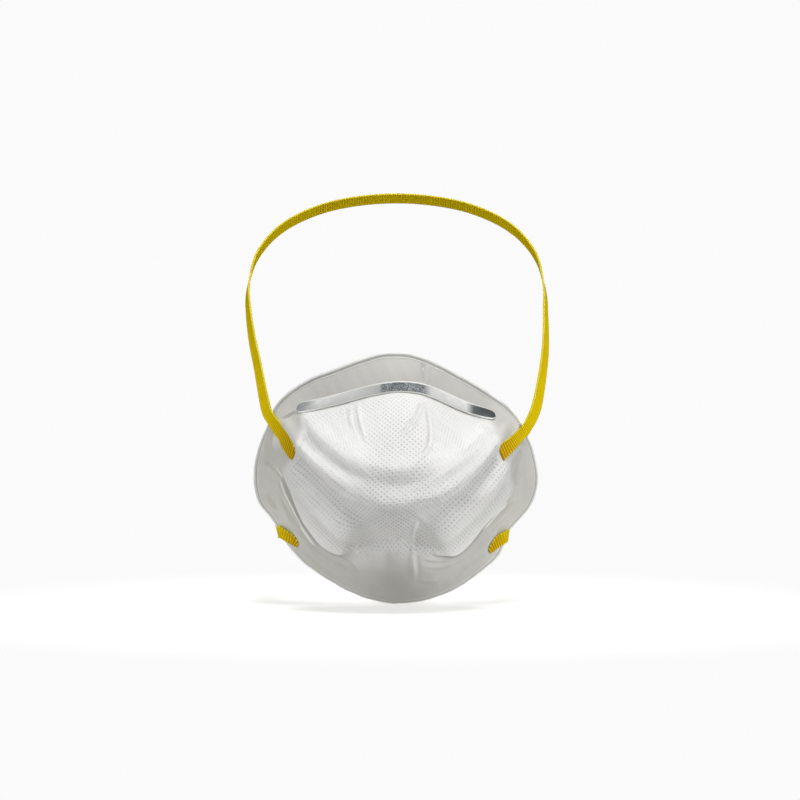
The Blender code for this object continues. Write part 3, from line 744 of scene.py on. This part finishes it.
def cup_material():
    """White web, embossed with rows of dots on the cup and pressed smooth on the skirt."""
    s = Shader("white_embossed_web", roughness=0.85, sheen=0.15)
    s.body.inputs["Sheen Roughness"].default_value = 0.6
    wander = (s.noise(45.0) - 0.5) * (2.2 * MM)
    across = s.attribute("across")
    slide_x = across + wander
    slide_z = across * EMBOSS_SLANT + (s.attribute("up") - wander)
    wave_x = s.math("COSINE", slide_x * (2.0 * math.pi / EMBOSS_PITCH[0]))
    wave_z = s.math("COSINE", slide_z * (2.0 * math.pi / EMBOSS_PITCH[1]))
    turn = s.math("ARCTAN2", s.x, s.z - (STREAK_CENTRE - ORIGIN[2]) * MM)
    streaks = s.math("COSINE", turn * STREAKS)
    stretch = s.attribute("stretch") * s.between(s.noise(160.0, 3.0), 0.35, 0.6, 0.6, 1.0)
    pattern = (wave_x * wave_z) * (1.0 - stretch) + (streaks * 0.62) * stretch
    patchy = s.attribute("emboss") * s.between(s.noise(55.0), 0.3, 0.62, 0.45, 1.0)
    dimple = s.between(pattern, 0.25, 1.0) * patchy
    fibre = s.noise(1500.0, 4.0, 0.65)
    lint = s.noise(420.0, 3.0, 0.6)
    skirt = s.attribute("skirt")
    line = s.attribute("line")

    white = s.mix(s.noise(40.0), srgb(247, 247, 245), srgb(240, 239, 236))
    pressed = s.mix(s.noise(70.0, 3.0), srgb(210, 209, 204), srgb(196, 194, 189))
    side = s.mix(s.noise(120.0, 3.0), srgb(228, 227, 220), srgb(212, 210, 203))
    pressed = s.mix(s.between(abs(s.x), 0.04, 0.06), pressed, side)
    colour = s.mix(skirt, white, pressed)
    # Painted highlight on the rim's bead and ridge line.
    colour = s.mix(s.attribute("rim"), colour, srgb(240, 240, 236))
    # Painted highlight along the cup's overhanging lower edge.
    colour = s.mix(s.math("MAXIMUM", line, 0.0), colour, srgb(246, 246, 243))
    # Painted shade: the colour is darkened in the dots' dimples and in the fold valleys.
    dark = dimple * 0.26 + s.attribute("painted_valley_shade") * 0.13
    # Painted shade under the cup's lower edge and in the rim's groove.
    dark = dark + s.math("MAXIMUM", line * -1.0, 0.0) * 0.36
    dark = dark + s.between(fibre, 0.35, 0.75, 0.0, 0.05)
    colour = s.scaled(colour, 1.0 - dark)

    normal = s.bump(dimple * -1.0, 0.30 * MM)
    normal = s.bump(lint, 0.25 * MM, 1.0 - skirt * 0.6, normal)
    normal = s.bump(fibre, 0.06 * MM, 1.0, normal)
    return s.finish(colour, normal, 0.9 - skirt * 0.3)


def lining_material(name, light, dark, coarse):
    """Soft fleece of short fibres."""
    s = Shader(name, roughness=0.95, sheen=0.3)
    fluff = s.noise(coarse, 5.0, 0.7)
    lay = s.noise(300.0, 3.0, 0.6, s.stretched(1.0, 1.0, 0.25))
    colour = s.mix(s.between(fluff, 0.3, 0.7), light, dark)
    colour = s.mix(s.attribute("skirt") * 0.35, colour, dark)
    normal = s.bump(fluff, 0.25 * MM)
    normal = s.bump(lay, 0.2 * MM, 1.0, normal)
    return s.finish(colour, normal)


def clip_material():
    """Soft rolled aluminium, with dark reflections painted over the nose and at its ends and a painted
    highlight along its edges.
    """
    s = Shader("rolled_aluminium", roughness=0.42, metallic=0.35)
    grain = s.noise(900.0, 4.0, 0.6, s.stretched(0.35, 1.0, 1.0))
    speckle = s.noise(2300.0, 3.0, 0.7)
    x = s.x * (1.0 / MM)
    # Painted reflections: dark patches over the nose and at both ends, with painted glints in them, stand in
    # for the room seen in the metal.
    over_nose = s.between(x, -9.0, -6.0) * (1.0 - s.between(x, 13.0, 18.0))
    left_end = s.between(x, 34.5, 39.5)
    right_end = 1.0 - s.between(x, -46.5, -40.5)
    edge = s.between(abs(s.attribute("across")), 0.72, 0.86)
    inside = 1.0 - edge
    dark_reflection_patch = s.math("MAXIMUM", over_nose, right_end * 0.6)
    painted_glints = s.between(speckle + grain * 0.3, 0.58, 0.8)
    bright = s.mix(grain, srgb(208, 209, 207), srgb(190, 191, 188))
    speckled_dark_reflection = s.mix(painted_glints, srgb(84, 89, 93), srgb(190, 195, 198))
    colour = s.mix(dark_reflection_patch * inside, bright, speckled_dark_reflection)
    end_dark_reflection = s.mix(grain, srgb(62, 68, 70), srgb(88, 93, 95))
    colour = s.mix(left_end * inside, colour, end_dark_reflection)
    # Painted highlight along both edges of the strip.
    colour = s.mix(edge, colour, srgb(240, 240, 236))
    normal = s.bump(grain, 0.03 * MM)
    normal = s.bump(speckle, 0.14 * MM, dark_reflection_patch + 0.15, normal)
    return s.finish(colour, normal, grain * 0.25 + 0.38)


def foam_material():
    """Open-cell foam, with painted shade in its pores."""
    s = Shader("open_cell_foam", roughness=0.95)
    pores = s.cells(1700.0)
    depth = s.between(pores, 0.15, 0.6) + s.between(s.cells(3800.0), 0.1, 0.5) * 0.4
    # Painted shade: the colour is darker towards the middle of each pore, where the bump sinks.
    colour = s.mix(s.between(pores, 0.2, 0.55), srgb(112, 114, 116), srgb(158, 160, 160))
    return s.finish(colour, s.bump(depth, 0.3 * MM))


def film_material():
    """Thin clear adhesive film."""
    s = Shader("adhesive_film", roughness=0.35)
    wrinkle = s.noise(500.0, 3.0)
    colour = s.mix(wrinkle, srgb(214, 208, 190), srgb(196, 188, 166))
    return s.finish(colour, s.bump(wrinkle, 0.1 * MM))


RIB_PITCH = 1.45


def band_material():
    """Yellow knitted elastic with cross ribs and beaded edges."""
    s = Shader("yellow_knit_elastic", roughness=0.75)
    s.body.inputs["Specular IOR Level"].default_value = 0.08
    across = s.attribute("across")
    row = (s.math("SINE", s.attribute("run") * (2.0 * math.pi / RIB_PITCH)) + 1.0) * 0.5
    wale = (s.math("COSINE", across * (5.0 * math.pi)) + 1.0) * 0.5
    # Painted highlight on the beaded edges, brightest on the ribs.
    bead_highlight = s.between(abs(across), 0.78, 0.9) * row
    fuzz = s.noise(1600.0, 3.0, 0.7)
    yellow = s.mix(s.noise(90.0), srgb(250, 222, 0), srgb(240, 205, 0))
    # Painted shade between the ribs and wales on the welds, over the welds' own darker amber.
    rib_shading = row * (wale * 0.45 + 0.55)
    weld_amber_with_rib_shading = s.mix(rib_shading, srgb(186, 136, 0), srgb(245, 205, 24))
    colour = s.mix(s.attribute("weld") * 0.9, yellow, weld_amber_with_rib_shading)
    colour = s.mix(bead_highlight * 0.8, colour, srgb(255, 244, 96))
    # Painted shade between the ribs, times a random fibre tone.
    shade = (1.0 - (1.0 - row) * 0.16) * s.between(fuzz, 0.3, 0.7, 0.93, 1.0)
    colour = s.scaled(colour, shade)
    normal = s.bump(row * 0.8 + wale * 0.25, 0.22 * MM)
    normal = s.bump(fuzz, 0.08 * MM, 1.0, normal)
    return s.finish(colour, normal)


FLOOR_GLOW = 0.01
FLOOR_GLOW_SEEN = 0.28
FADE_START = 0.09
FADE_END = 0.3
BACKDROP_WHITE = 0.96


def stage_material():
    """Pale studio paper, lightened for the camera alone, that fades into a white distance."""
    s = Shader("studio_paper", roughness=0.9)
    paper = srgb(246, 246, 245)
    seen = s.node("ShaderNodeLightPath", {}, "Is Camera Ray")
    s.finish(s.mix(s.noise(6.0), paper, tuple(c * 0.985 for c in paper[:3]) + (1.0,)))
    s.body.inputs["Emission Color"].default_value = (1.0, 1.0, 1.0, 1.0)
    s.link(FLOOR_GLOW - seen * (FLOOR_GLOW - FLOOR_GLOW_SEEN), s.body.inputs["Emission Strength"])
    far = s.node("ShaderNodeVectorMath", {0: s.place}, "Value", operation="LENGTH")
    glow = s.node("ShaderNodeEmission", {"Strength": seen * BACKDROP_WHITE})
    paper_side = Value(s, s.body.outputs[0])
    fade = s.between(far, FADE_START, FADE_END)
    blend = s.node("ShaderNodeMixShader", {0: fade, 1: paper_side, 2: glow})
    s.link(blend, s.tree.nodes["Material Output"].inputs["Surface"])
    return s.material


# ---------------------------------------------------------------- the mask

def on_mask(piece, node):
    """Make a piece move with the mask in place of a node, and return it."""
    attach(piece, "mask")
    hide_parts(node)
    return piece


outer = on_mask(make_outer_web(cup_material()), "outer_cover_web")

# Node, depth below the cover's outside, thickness, light and dark display colours.
for node, depth, thickness, light, dark in (
    ("filter_web_front", 1.45, 0.40, (246, 246, 244), (236, 236, 233)),
    ("filter_web_rear", 1.95, 0.40, (243, 243, 240), (232, 232, 229)),
    ("support_shell", 2.45, 0.70, (230, 229, 222), (216, 215, 207)),
):
    fibre = lining_material(node + "_fibre", srgb(*light), srgb(*dark), 900.0)
    on_mask(make_inner_layer(node + "_ply", fibre, depth, thickness, PLY_GRID, 3), node)

fleece = lining_material("face_side_fleece", srgb(240, 239, 235), srgb(222, 220, 214), 1200.0)
inner = on_mask(make_inner_layer("face_side_web", fleece, 3.45, 0.55, FACE_GRID, 9), "inner_cover_web")


def tree_of(piece):
    """Return a search tree over a piece."""
    mesh = piece.data
    corners = np.empty(len(mesh.vertices) * 3, np.float32)
    mesh.vertices.foreach_get("co", corners)
    points = (corners.reshape(-1, 3) / MM + ORIGIN).tolist()
    return BVHTree.FromPolygons([Vector(p) for p in points], [tuple(f.vertices) for f in mesh.polygons])


front_tree = tree_of(outer)
back_tree = tree_of(inner)


def touch(tree, x, z, toward):
    """Return the first surface point and normal met at (x, z), or None."""
    hit = tree.ray_cast(Vector((x, 400.0 * toward, z)), Vector((0.0, -toward, 0.0)))
    if hit[0] is None:
        return None
    facing = hit[1] if hit[1].y * toward > 0.0 else -hit[1]
    return np.array(hit[0]), np.array(facing)


# The line above the fold follows it as far as CORNER and then runs straight on.
CORNER = 45.0
CORNER_REACH = 14.0


def above_fold(half_length, offset, positions):
    """Return (x, z) points along the skirt, a little above the fold over the cup."""
    line = [(-x, z) for x, z in FOLD_RIGHT if x < CORNER and z > 0.0][::-1]
    line += [(x, z) for x, z in FOLD_LEFT if 0.0 < x < CORNER and z > 0.0]
    line = smoothed(curve_through(line), 30)
    heading = unit(np.gradient(line, axis=0))
    line = line + np.stack([-heading[:, 1], heading[:, 0]], axis=1) * offset
    line = np.vstack([line[0] - heading[0] * CORNER_REACH, line, line[-1] + heading[-1] * CORNER_REACH])
    x = positions * half_length
    return np.stack([x, np.interp(x, line[:, 0], line[:, 1])], axis=1)


def lay_strip(tree, points, half_width, toward, passes):
    """Return places and normals for a strip that rests on a surface along (x, z) points."""
    directions = unit(np.gradient(points, axis=0))
    places, normals = [], []
    for point, direction in zip(points, directions):
        across = np.array([-direction[1], direction[0]]) * half_width
        hits = [touch(tree, *(point + across * side), toward) for side in (-0.9, -0.45, 0.0, 0.45, 0.9)]
        hits = [hit for hit in hits if hit is not None]
        normal = unit(np.sum([hit[1] for hit in hits], axis=0))
        centre = np.mean([hit[0] for hit in hits], axis=0)
        lift = max(float(np.dot(hit[0] - centre, normal)) for hit in hits)
        places.append(centre + normal * lift * 0.8)
        normals.append(normal)
    return smoothed(places, passes), unit(smoothed(normals, passes))


def symmetric(half):
    """Return a cross-section from its -X half, whose last point is on its middle."""
    return half + tuple((-x, y) for x, y in half[-2::-1])


CLIP_STEPS = 141
CLIP_HALF_WIDTH = 2.75
CLIP_HALF_THICKNESS = 0.45
CLIP_ABOVE_FOLD = 3.1
CLIP_SECTION = symmetric((
    (-0.94, -1.0), (-1.0, -0.55), (-1.0, 0.3), (-0.93, 0.75), (-0.8, 0.9), (-0.4, 1.0), (0.0, 1.05),
))


def make_clip():
    """Build the aluminium strip with rounded ends and softened edges."""
    box_low, box_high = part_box("nose_clip")
    half_length = (box_high.x - box_low.x) / 2.0 / MM
    positions = np.sin(np.pi / 2.0 * np.linspace(-1.0, 1.0, CLIP_STEPS))
    points = above_fold(half_length, CLIP_ABOVE_FOLD, positions)
    places, normals = lay_strip(front_tree, points, CLIP_HALF_WIDTH, -1.0, 10)
    from_end = (1.0 - np.abs(positions)) * half_length
    inward = 1.0 - np.minimum(1.0, from_end / CLIP_HALF_WIDTH)
    reach = np.sqrt(np.clip(1.0 - inward ** 2, 0.006, 1.0)) * CLIP_HALF_WIDTH
    thick = CLIP_HALF_THICKNESS * np.sqrt(np.clip(from_end / 0.5, 0.2, 1.0))
    across = unit(np.cross(normals, unit(np.gradient(places, axis=0))))
    reach = reach / np.clip(np.hypot(across[:, 0], across[:, 2]), 0.75, 1.0)
    places = places + normals * CLIP_HALF_THICKNESS
    reaches = np.stack([reach, thick], axis=1)
    return sweep("nose_clip_strip", places, normals, reaches, CLIP_SECTION, clip_material())


on_mask(make_clip(), "nose_clip")

FOAM_STEPS = 161
FOAM_HALF_LENGTH = 39.6
FOAM_HALF_WIDTH = 3.5
FOAM_HALF_THICKNESS = 1.75
FOAM_ABOVE_FOLD = 4.4
FOAM_LIFT = 2.15
FOAM_SECTION = symmetric((
    (-0.97, -1.0), (-1.0, -0.6), (-1.0, 0.0), (-0.99, 0.5), (-0.93, 0.82), (-0.82, 0.96), (-0.6, 1.03),
    (-0.3, 1.06), (0.0, 1.07),
))
FILM_HALF_WIDTH = 3.45
FILM_HALF_THICKNESS = 0.14
FILM_LIFT = 0.2
FILM_SECTION = ((-1.0, -1.0), (-1.0, 1.0), (0.0, 1.0), (1.0, 1.0), (1.0, -1.0), (0.0, -1.0))


def make_foam():
    """Build the foam strip and its adhesive film on the inside of the nose."""
    positions = np.linspace(-1.0, 1.0, FOAM_STEPS)
    points = above_fold(FOAM_HALF_LENGTH, FOAM_ABOVE_FOLD, positions)
    places, normals = lay_strip(back_tree, points, FOAM_HALF_WIDTH, 1.0, 30)
    from_end = (1.0 - np.abs(positions)) * FOAM_HALF_LENGTH
    soft = np.sqrt(np.clip(1.0 - (1.0 - np.minimum(1.0, (from_end + 0.25) / 1.4)) ** 2, 0.05, 1.0))
    wobble = 1.0 + 0.012 * np.sin(positions * 61.0) + 0.008 * np.sin(positions * 143.0 + 1.0)
    reaches = np.stack(
        [FOAM_HALF_WIDTH * (0.93 + 0.07 * soft) * wobble, FOAM_HALF_THICKNESS * soft * wobble], axis=1
    )
    foam_places = places + normals * FOAM_LIFT
    foam = sweep("nose_foam_strip", foam_places, normals, reaches, FOAM_SECTION, foam_material())
    flat = np.tile([FILM_HALF_WIDTH, FILM_HALF_THICKNESS], (FOAM_STEPS, 1))
    film_places = places + normals * FILM_LIFT
    film = sweep("nose_foam_film", film_places, normals, flat, FILM_SECTION, film_material())
    on_mask(foam, "nose_foam")
    on_mask(film, "nose_foam_adhesive")


make_foam()


# ---------------------------------------------------------------- headbands

# Each band runs in a plane that leans back from its swing axis. "path" gives one
# half as (sideways, back), "spread" what each side adds to it near the mask, and
# "tilt" how far the band's face turns towards the front along it. The welded ends are
# (x, z, half width) from the cut end outwards. "rim" is where the band crosses the
# rim, and "rise" how far it faces upwards there. The spread has died out at "rear".
HEADBANDS = {
    "upper_strap": {
        "axis": (11.0, 27.0), "lean": math.radians(45.0),
        "path": (
            (69.9, 14.0), (74.8, 43.0), (77.6, 63.0), (79.4, 84.0), (80.0, 104.0), (76.0, 130.0),
            (63.0, 153.0), (41.0, 169.3), (14.0, 177.0),
        ),
        "spread": (-2.6, 2.5),
        "tilt": (39.0, 30.0, 26.0, 20.0, 12.0, 4.0, 0.0, 0.0, 0.0),
        "ends": (
            ((-50.3, 12.0, 2.5), (-51.4, 14.2, 4.1), (-54.6, 18.7, 4.3), (-58.7, 23.9, 3.6)),
            ((51.6, 12.6, 4.0), (53.9, 14.7, 3.8), (58.1, 17.5, 3.2), (62.4, 21.2, 3.0)),
        ),
        "rim": ((-63.0, 30.0), (66.0, 25.6)), "rise": 0.22,
        "rear": 104.0,
    },
    "lower_strap": {
        "axis": (19.0, -30.0), "lean": math.radians(6.5),
        "path": (
            (61.2, 12.0), (60.3, 28.0), (60.8, 45.0), (61.6, 75.0), (58.0, 97.0), (45.0, 116.0),
            (28.0, 124.3), (9.0, 128.0),
        ),
        "spread": (0.0, -3.2),
        "tilt": (-16.0, -8.0, -2.0, 0.0, 0.0, 0.0, 0.0, 0.0),
        "ends": (
            ((-49.9, -34.6, 1.1), (-51.6, -32.9, 2.2), (-54.0, -31.0, 3.0)),
            ((47.3, -37.8, 1.0), (49.2, -35.2, 2.4), (52.2, -32.4, 3.2)),
        ),
        "rim": ((-58.8, -28.0), (55.9, -30.0)), "rise": -0.1,
        "rear": 75.0,
    },
}
BAND_HALF = 3.5
BAND_TOP = (
    (-1.0, 0.0), (-0.98, 0.35), (-0.9, 0.56), (-0.8, 0.52), (-0.68, 0.44), (-0.4, 0.44), (-0.13, 0.44),
    (0.13, 0.44), (0.4, 0.44), (0.68, 0.44), (0.8, 0.52), (0.9, 0.56), (0.98, 0.35),
)
BAND_SECTION = BAND_TOP + tuple((-x, -y) for x, y in BAND_TOP)
WELD_LIFT = 0.45
WELD_THICKNESS = 0.75
WELD_SHARES = (1.0, 1.0, 0.85, 0.35)

# Distances behind the swing axis: where the loop is divided from the welded ends, and
# marks for the ends' bend and the loop's stretch, which the script sets but does not use.
BAND_CUT = 20.0
BEND_STOP = 16.0
STRETCH_START = 22.0


def half_band(plane, side):
    """Return stations of the right half (0) or the left (1), from the welded end back.

    A station is a place, a normal, and the half width, thickness, share of weld and
    distance behind the swing axis.
    """
    mirror = (-1.0, 1.0)[side]
    back = np.array([0.0, math.cos(plane["lean"]), math.sin(plane["lean"])])
    wide = np.array([0.0, -math.sin(plane["lean"]), math.cos(plane["lean"])])
    axis = np.array([0.0, *plane["axis"]])
    stations = []
    for (x, z, reach), weld in zip(plane["ends"][side], WELD_SHARES):
        place, normal = touch(front_tree, x, z, -1.0)
        around = [touch(front_tree, x + dx, z + dz, -1.0) for dx in (-1.5, 1.5) for dz in (-1.5, 1.5)]
        normal = unit(normal + np.sum([hit[1] for hit in around if hit is not None], axis=0))
        stations.append((place + normal * WELD_LIFT, normal, reach, WELD_THICKNESS, weld, -10.0))
    rim_x, rim_z = plane["rim"][side]
    angle = np.array(math.atan2(rim_x - CUP_CENTRE[0], rim_z - CUP_CENTRE[1]))
    rim_y = float(rim_depth(angle)) - 1.6
    outward = unit(np.array([0.80 * mirror, -0.55, plane["rise"]]))
    stations.append((np.array([rim_x, rim_y, rim_z]) + outward * 1.2, outward, 3.2, 0.9, 0.0, -1.0))
    path = np.array(plane["path"])
    path[:, 0] += plane["spread"][side] * (1.0 - smoothstep(30.0, plane["rear"], path[:, 1]))
    heading = unit(np.gradient(path, axis=0))
    for (x, t), (dx, dt), tilt in zip(path, heading, plane["tilt"]):
        turn = math.radians(tilt)
        flat = np.array([dt * mirror, 0.0, 0.0]) - back * dx
        normal = flat * math.cos(turn) + wide * math.sin(turn)
        stations.append((axis + np.array([x * mirror, 0.0, 0.0]) + back * t, normal, BAND_HALF, 1.0, 0.0, t))
    return stations


def make_band(name, material):
    """Build one band as two welded ends and the long loop between them."""
    plane = HEADBANDS[name]
    stations = half_band(plane, 0) + half_band(plane, 1)[::-1]
    places = curve_through([s[0] for s in stations], 24)
    others = np.array([[*s[1], *s[2:]] for s in stations], float)
    fine = np.linspace(0.0, len(stations) - 1.0, len(places))
    columns = np.stack([np.interp(fine, np.arange(len(stations)), column) for column in others.T], axis=1)
    places, columns, run = resample(places, columns, RIB_PITCH / 3.0)
    columns = smoothed(columns, 6)
    normals = unit(columns[:, :3])
    half_width, thick, weld, back = columns[:, 3:].T
    heading = unit(np.gradient(places, axis=0))
    across = unit(np.cross(normals, heading))

    # On the welds the ribs and the width are as seen from the front, whatever the slope.
    level = np.hypot(heading[:, 0], heading[:, 2])
    pace = 1.0 + weld * (np.clip(level, 0.3, 1.0) - 1.0)
    rib = np.concatenate([[0.0], np.cumsum(np.diff(run) * pace[1:])])
    widen = 1.0 + weld * (1.0 / np.clip(np.hypot(across[:, 0], across[:, 2]), 0.6, 1.0) - 1.0)
    scallop = 1.0 + 0.02 * np.sin(2.0 * np.pi * rib / RIB_PITCH)
    reaches = np.stack([half_width * scallop * widen, thick], axis=1)

    first = int(np.argmax(back >= BAND_CUT))
    last = len(run) - 1 - int(np.argmax(back[::-1] >= BAND_CUT))
    made = {}
    for label, start, stop in (
        ("end_left", 0, first + 1), ("loop", first, last + 1), ("end_right", last, len(run))
    ):
        part = slice(start, stop)
        made[label] = sweep(
            f"{name}_{label}_knit", places[part], normals[part], reaches[part], BAND_SECTION, material,
            {"run": rib[part], "weld": weld[part]},
        )
    direction = np.array([0.0, math.cos(plane["lean"]), math.sin(plane["lean"])])
    hinge = np.array([0.0, *plane["axis"]])
    marks = (0.0, BEND_STOP, STRETCH_START, plane["rear"])
    at = [tuple(placed(hinge + direction * mark)[0]) for mark in marks]
    for label in ("end_left", "end_right"):
        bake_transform(made[label])
        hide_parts(f"{name}_{label}")
    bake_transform(made["loop"])
    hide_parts(f"{name}_left_side", f"{name}_right_side", f"{name}_back")


knit = band_material()
for band in HEADBANDS:
    make_band(band, knit)


# ---------------------------------------------------------------- studio

# Metres from here on. Lights: name, place, size and power. All face the origin.
FLOOR_HALF = 8.0
FLOOR_LINES = 17
FLOOR_GAP = 0.0006
LIGHTS = (
    ("overhead_softbox", (0.1, -0.3, 1.1), (0.4, 0.4), 7.5),
    ("left_softbox", (1.0, -0.6, 0.35), (0.4, 0.5), 7.3),
    ("rear_softbox", (0.1, 1.2, 0.9), (0.5, 0.5), 10.0),
    ("right_softbox", (-1.0, -0.6, 0.35), (0.4, 0.5), 6.2),
)
SKY_LIGHT = 0.08


def add_to_scene(name, data):
    """Add an object that holds some data to the scene."""
    item = bpy.data.objects.new(name, data)
    bpy.context.scene.collection.objects.link(item)
    return item


def make_stage():
    """Build the pale floor."""
    floor_z = cad_box[0].z - FLOOR_GAP
    steps = np.linspace(-FLOOR_HALF, FLOOR_HALF, FLOOR_LINES)
    points = [(x, y, floor_z) for y in steps for x in steps]
    squares = range(FLOOR_LINES - 1)
    corners = [row * FLOOR_LINES + column for row in squares for column in squares]
    mesh = bpy.data.meshes.new("studio_floor")
    mesh.from_pydata(points, [], [(a, a + 1, a + FLOOR_LINES + 1, a + FLOOR_LINES) for a in corners])
    mesh.materials.append(stage_material())
    add_to_scene("studio_floor", mesh)


make_stage()
for name, place, size, power in LIGHTS:
    lamp = bpy.data.lights.new(name, "AREA")
    lamp.shape = "RECTANGLE"
    lamp.size, lamp.size_y = size
    lamp.energy = power
    item = add_to_scene(name, lamp)
    item.location = place
    item.rotation_euler = (-Vector(place)).to_track_quat("-Z", "Y").to_euler()

# The world lights the mask faintly, and the camera sees it as white.
world = bpy.data.worlds.new("studio_world")
world.use_nodes = True
nodes = world.node_tree.nodes
sky = nodes["Background"]
sky.inputs["Color"].default_value = (1.0, 1.0, 1.0, 1.0)
sky.inputs["Strength"].default_value = SKY_LIGHT
backdrop = nodes.new("ShaderNodeBackground")
backdrop.inputs["Color"].default_value = (BACKDROP_WHITE, BACKDROP_WHITE, BACKDROP_WHITE, 1.0)
choose = nodes.new("ShaderNodeMixShader")
for source, target in (
    (nodes.new("ShaderNodeLightPath").outputs["Is Camera Ray"], choose.inputs[0]),
    (sky.outputs[0], choose.inputs[1]),
    (backdrop.outputs[0], choose.inputs[2]),
    (choose.outputs[0], nodes["World Output"].inputs["Surface"]),
):
    world.node_tree.links.new(source, target)
bpy.context.scene.world = world
bpy.context.scene.view_settings.view_transform = "Standard"

# The camera stands 1.2 m in front of the mask, in millimetres like the shapes.
CAMERA_PLACE = (2.0, -1200.0, 39.4)
CAMERA_LENS = 106.92
CAMERA_SENSOR = 36.0
camera_data = bpy.data.cameras.new("camera")
camera_data.sensor_width = CAMERA_SENSOR
camera_data.lens = CAMERA_LENS
camera_data.clip_end = 20.0
camera = add_to_scene("camera", camera_data)
camera.location = placed(CAMERA_PLACE)[0]
camera.rotation_euler = (math.radians(90.0), 0.0, 0.0)
bpy.context.scene.camera = camera

bpy.context.view_layer.update()
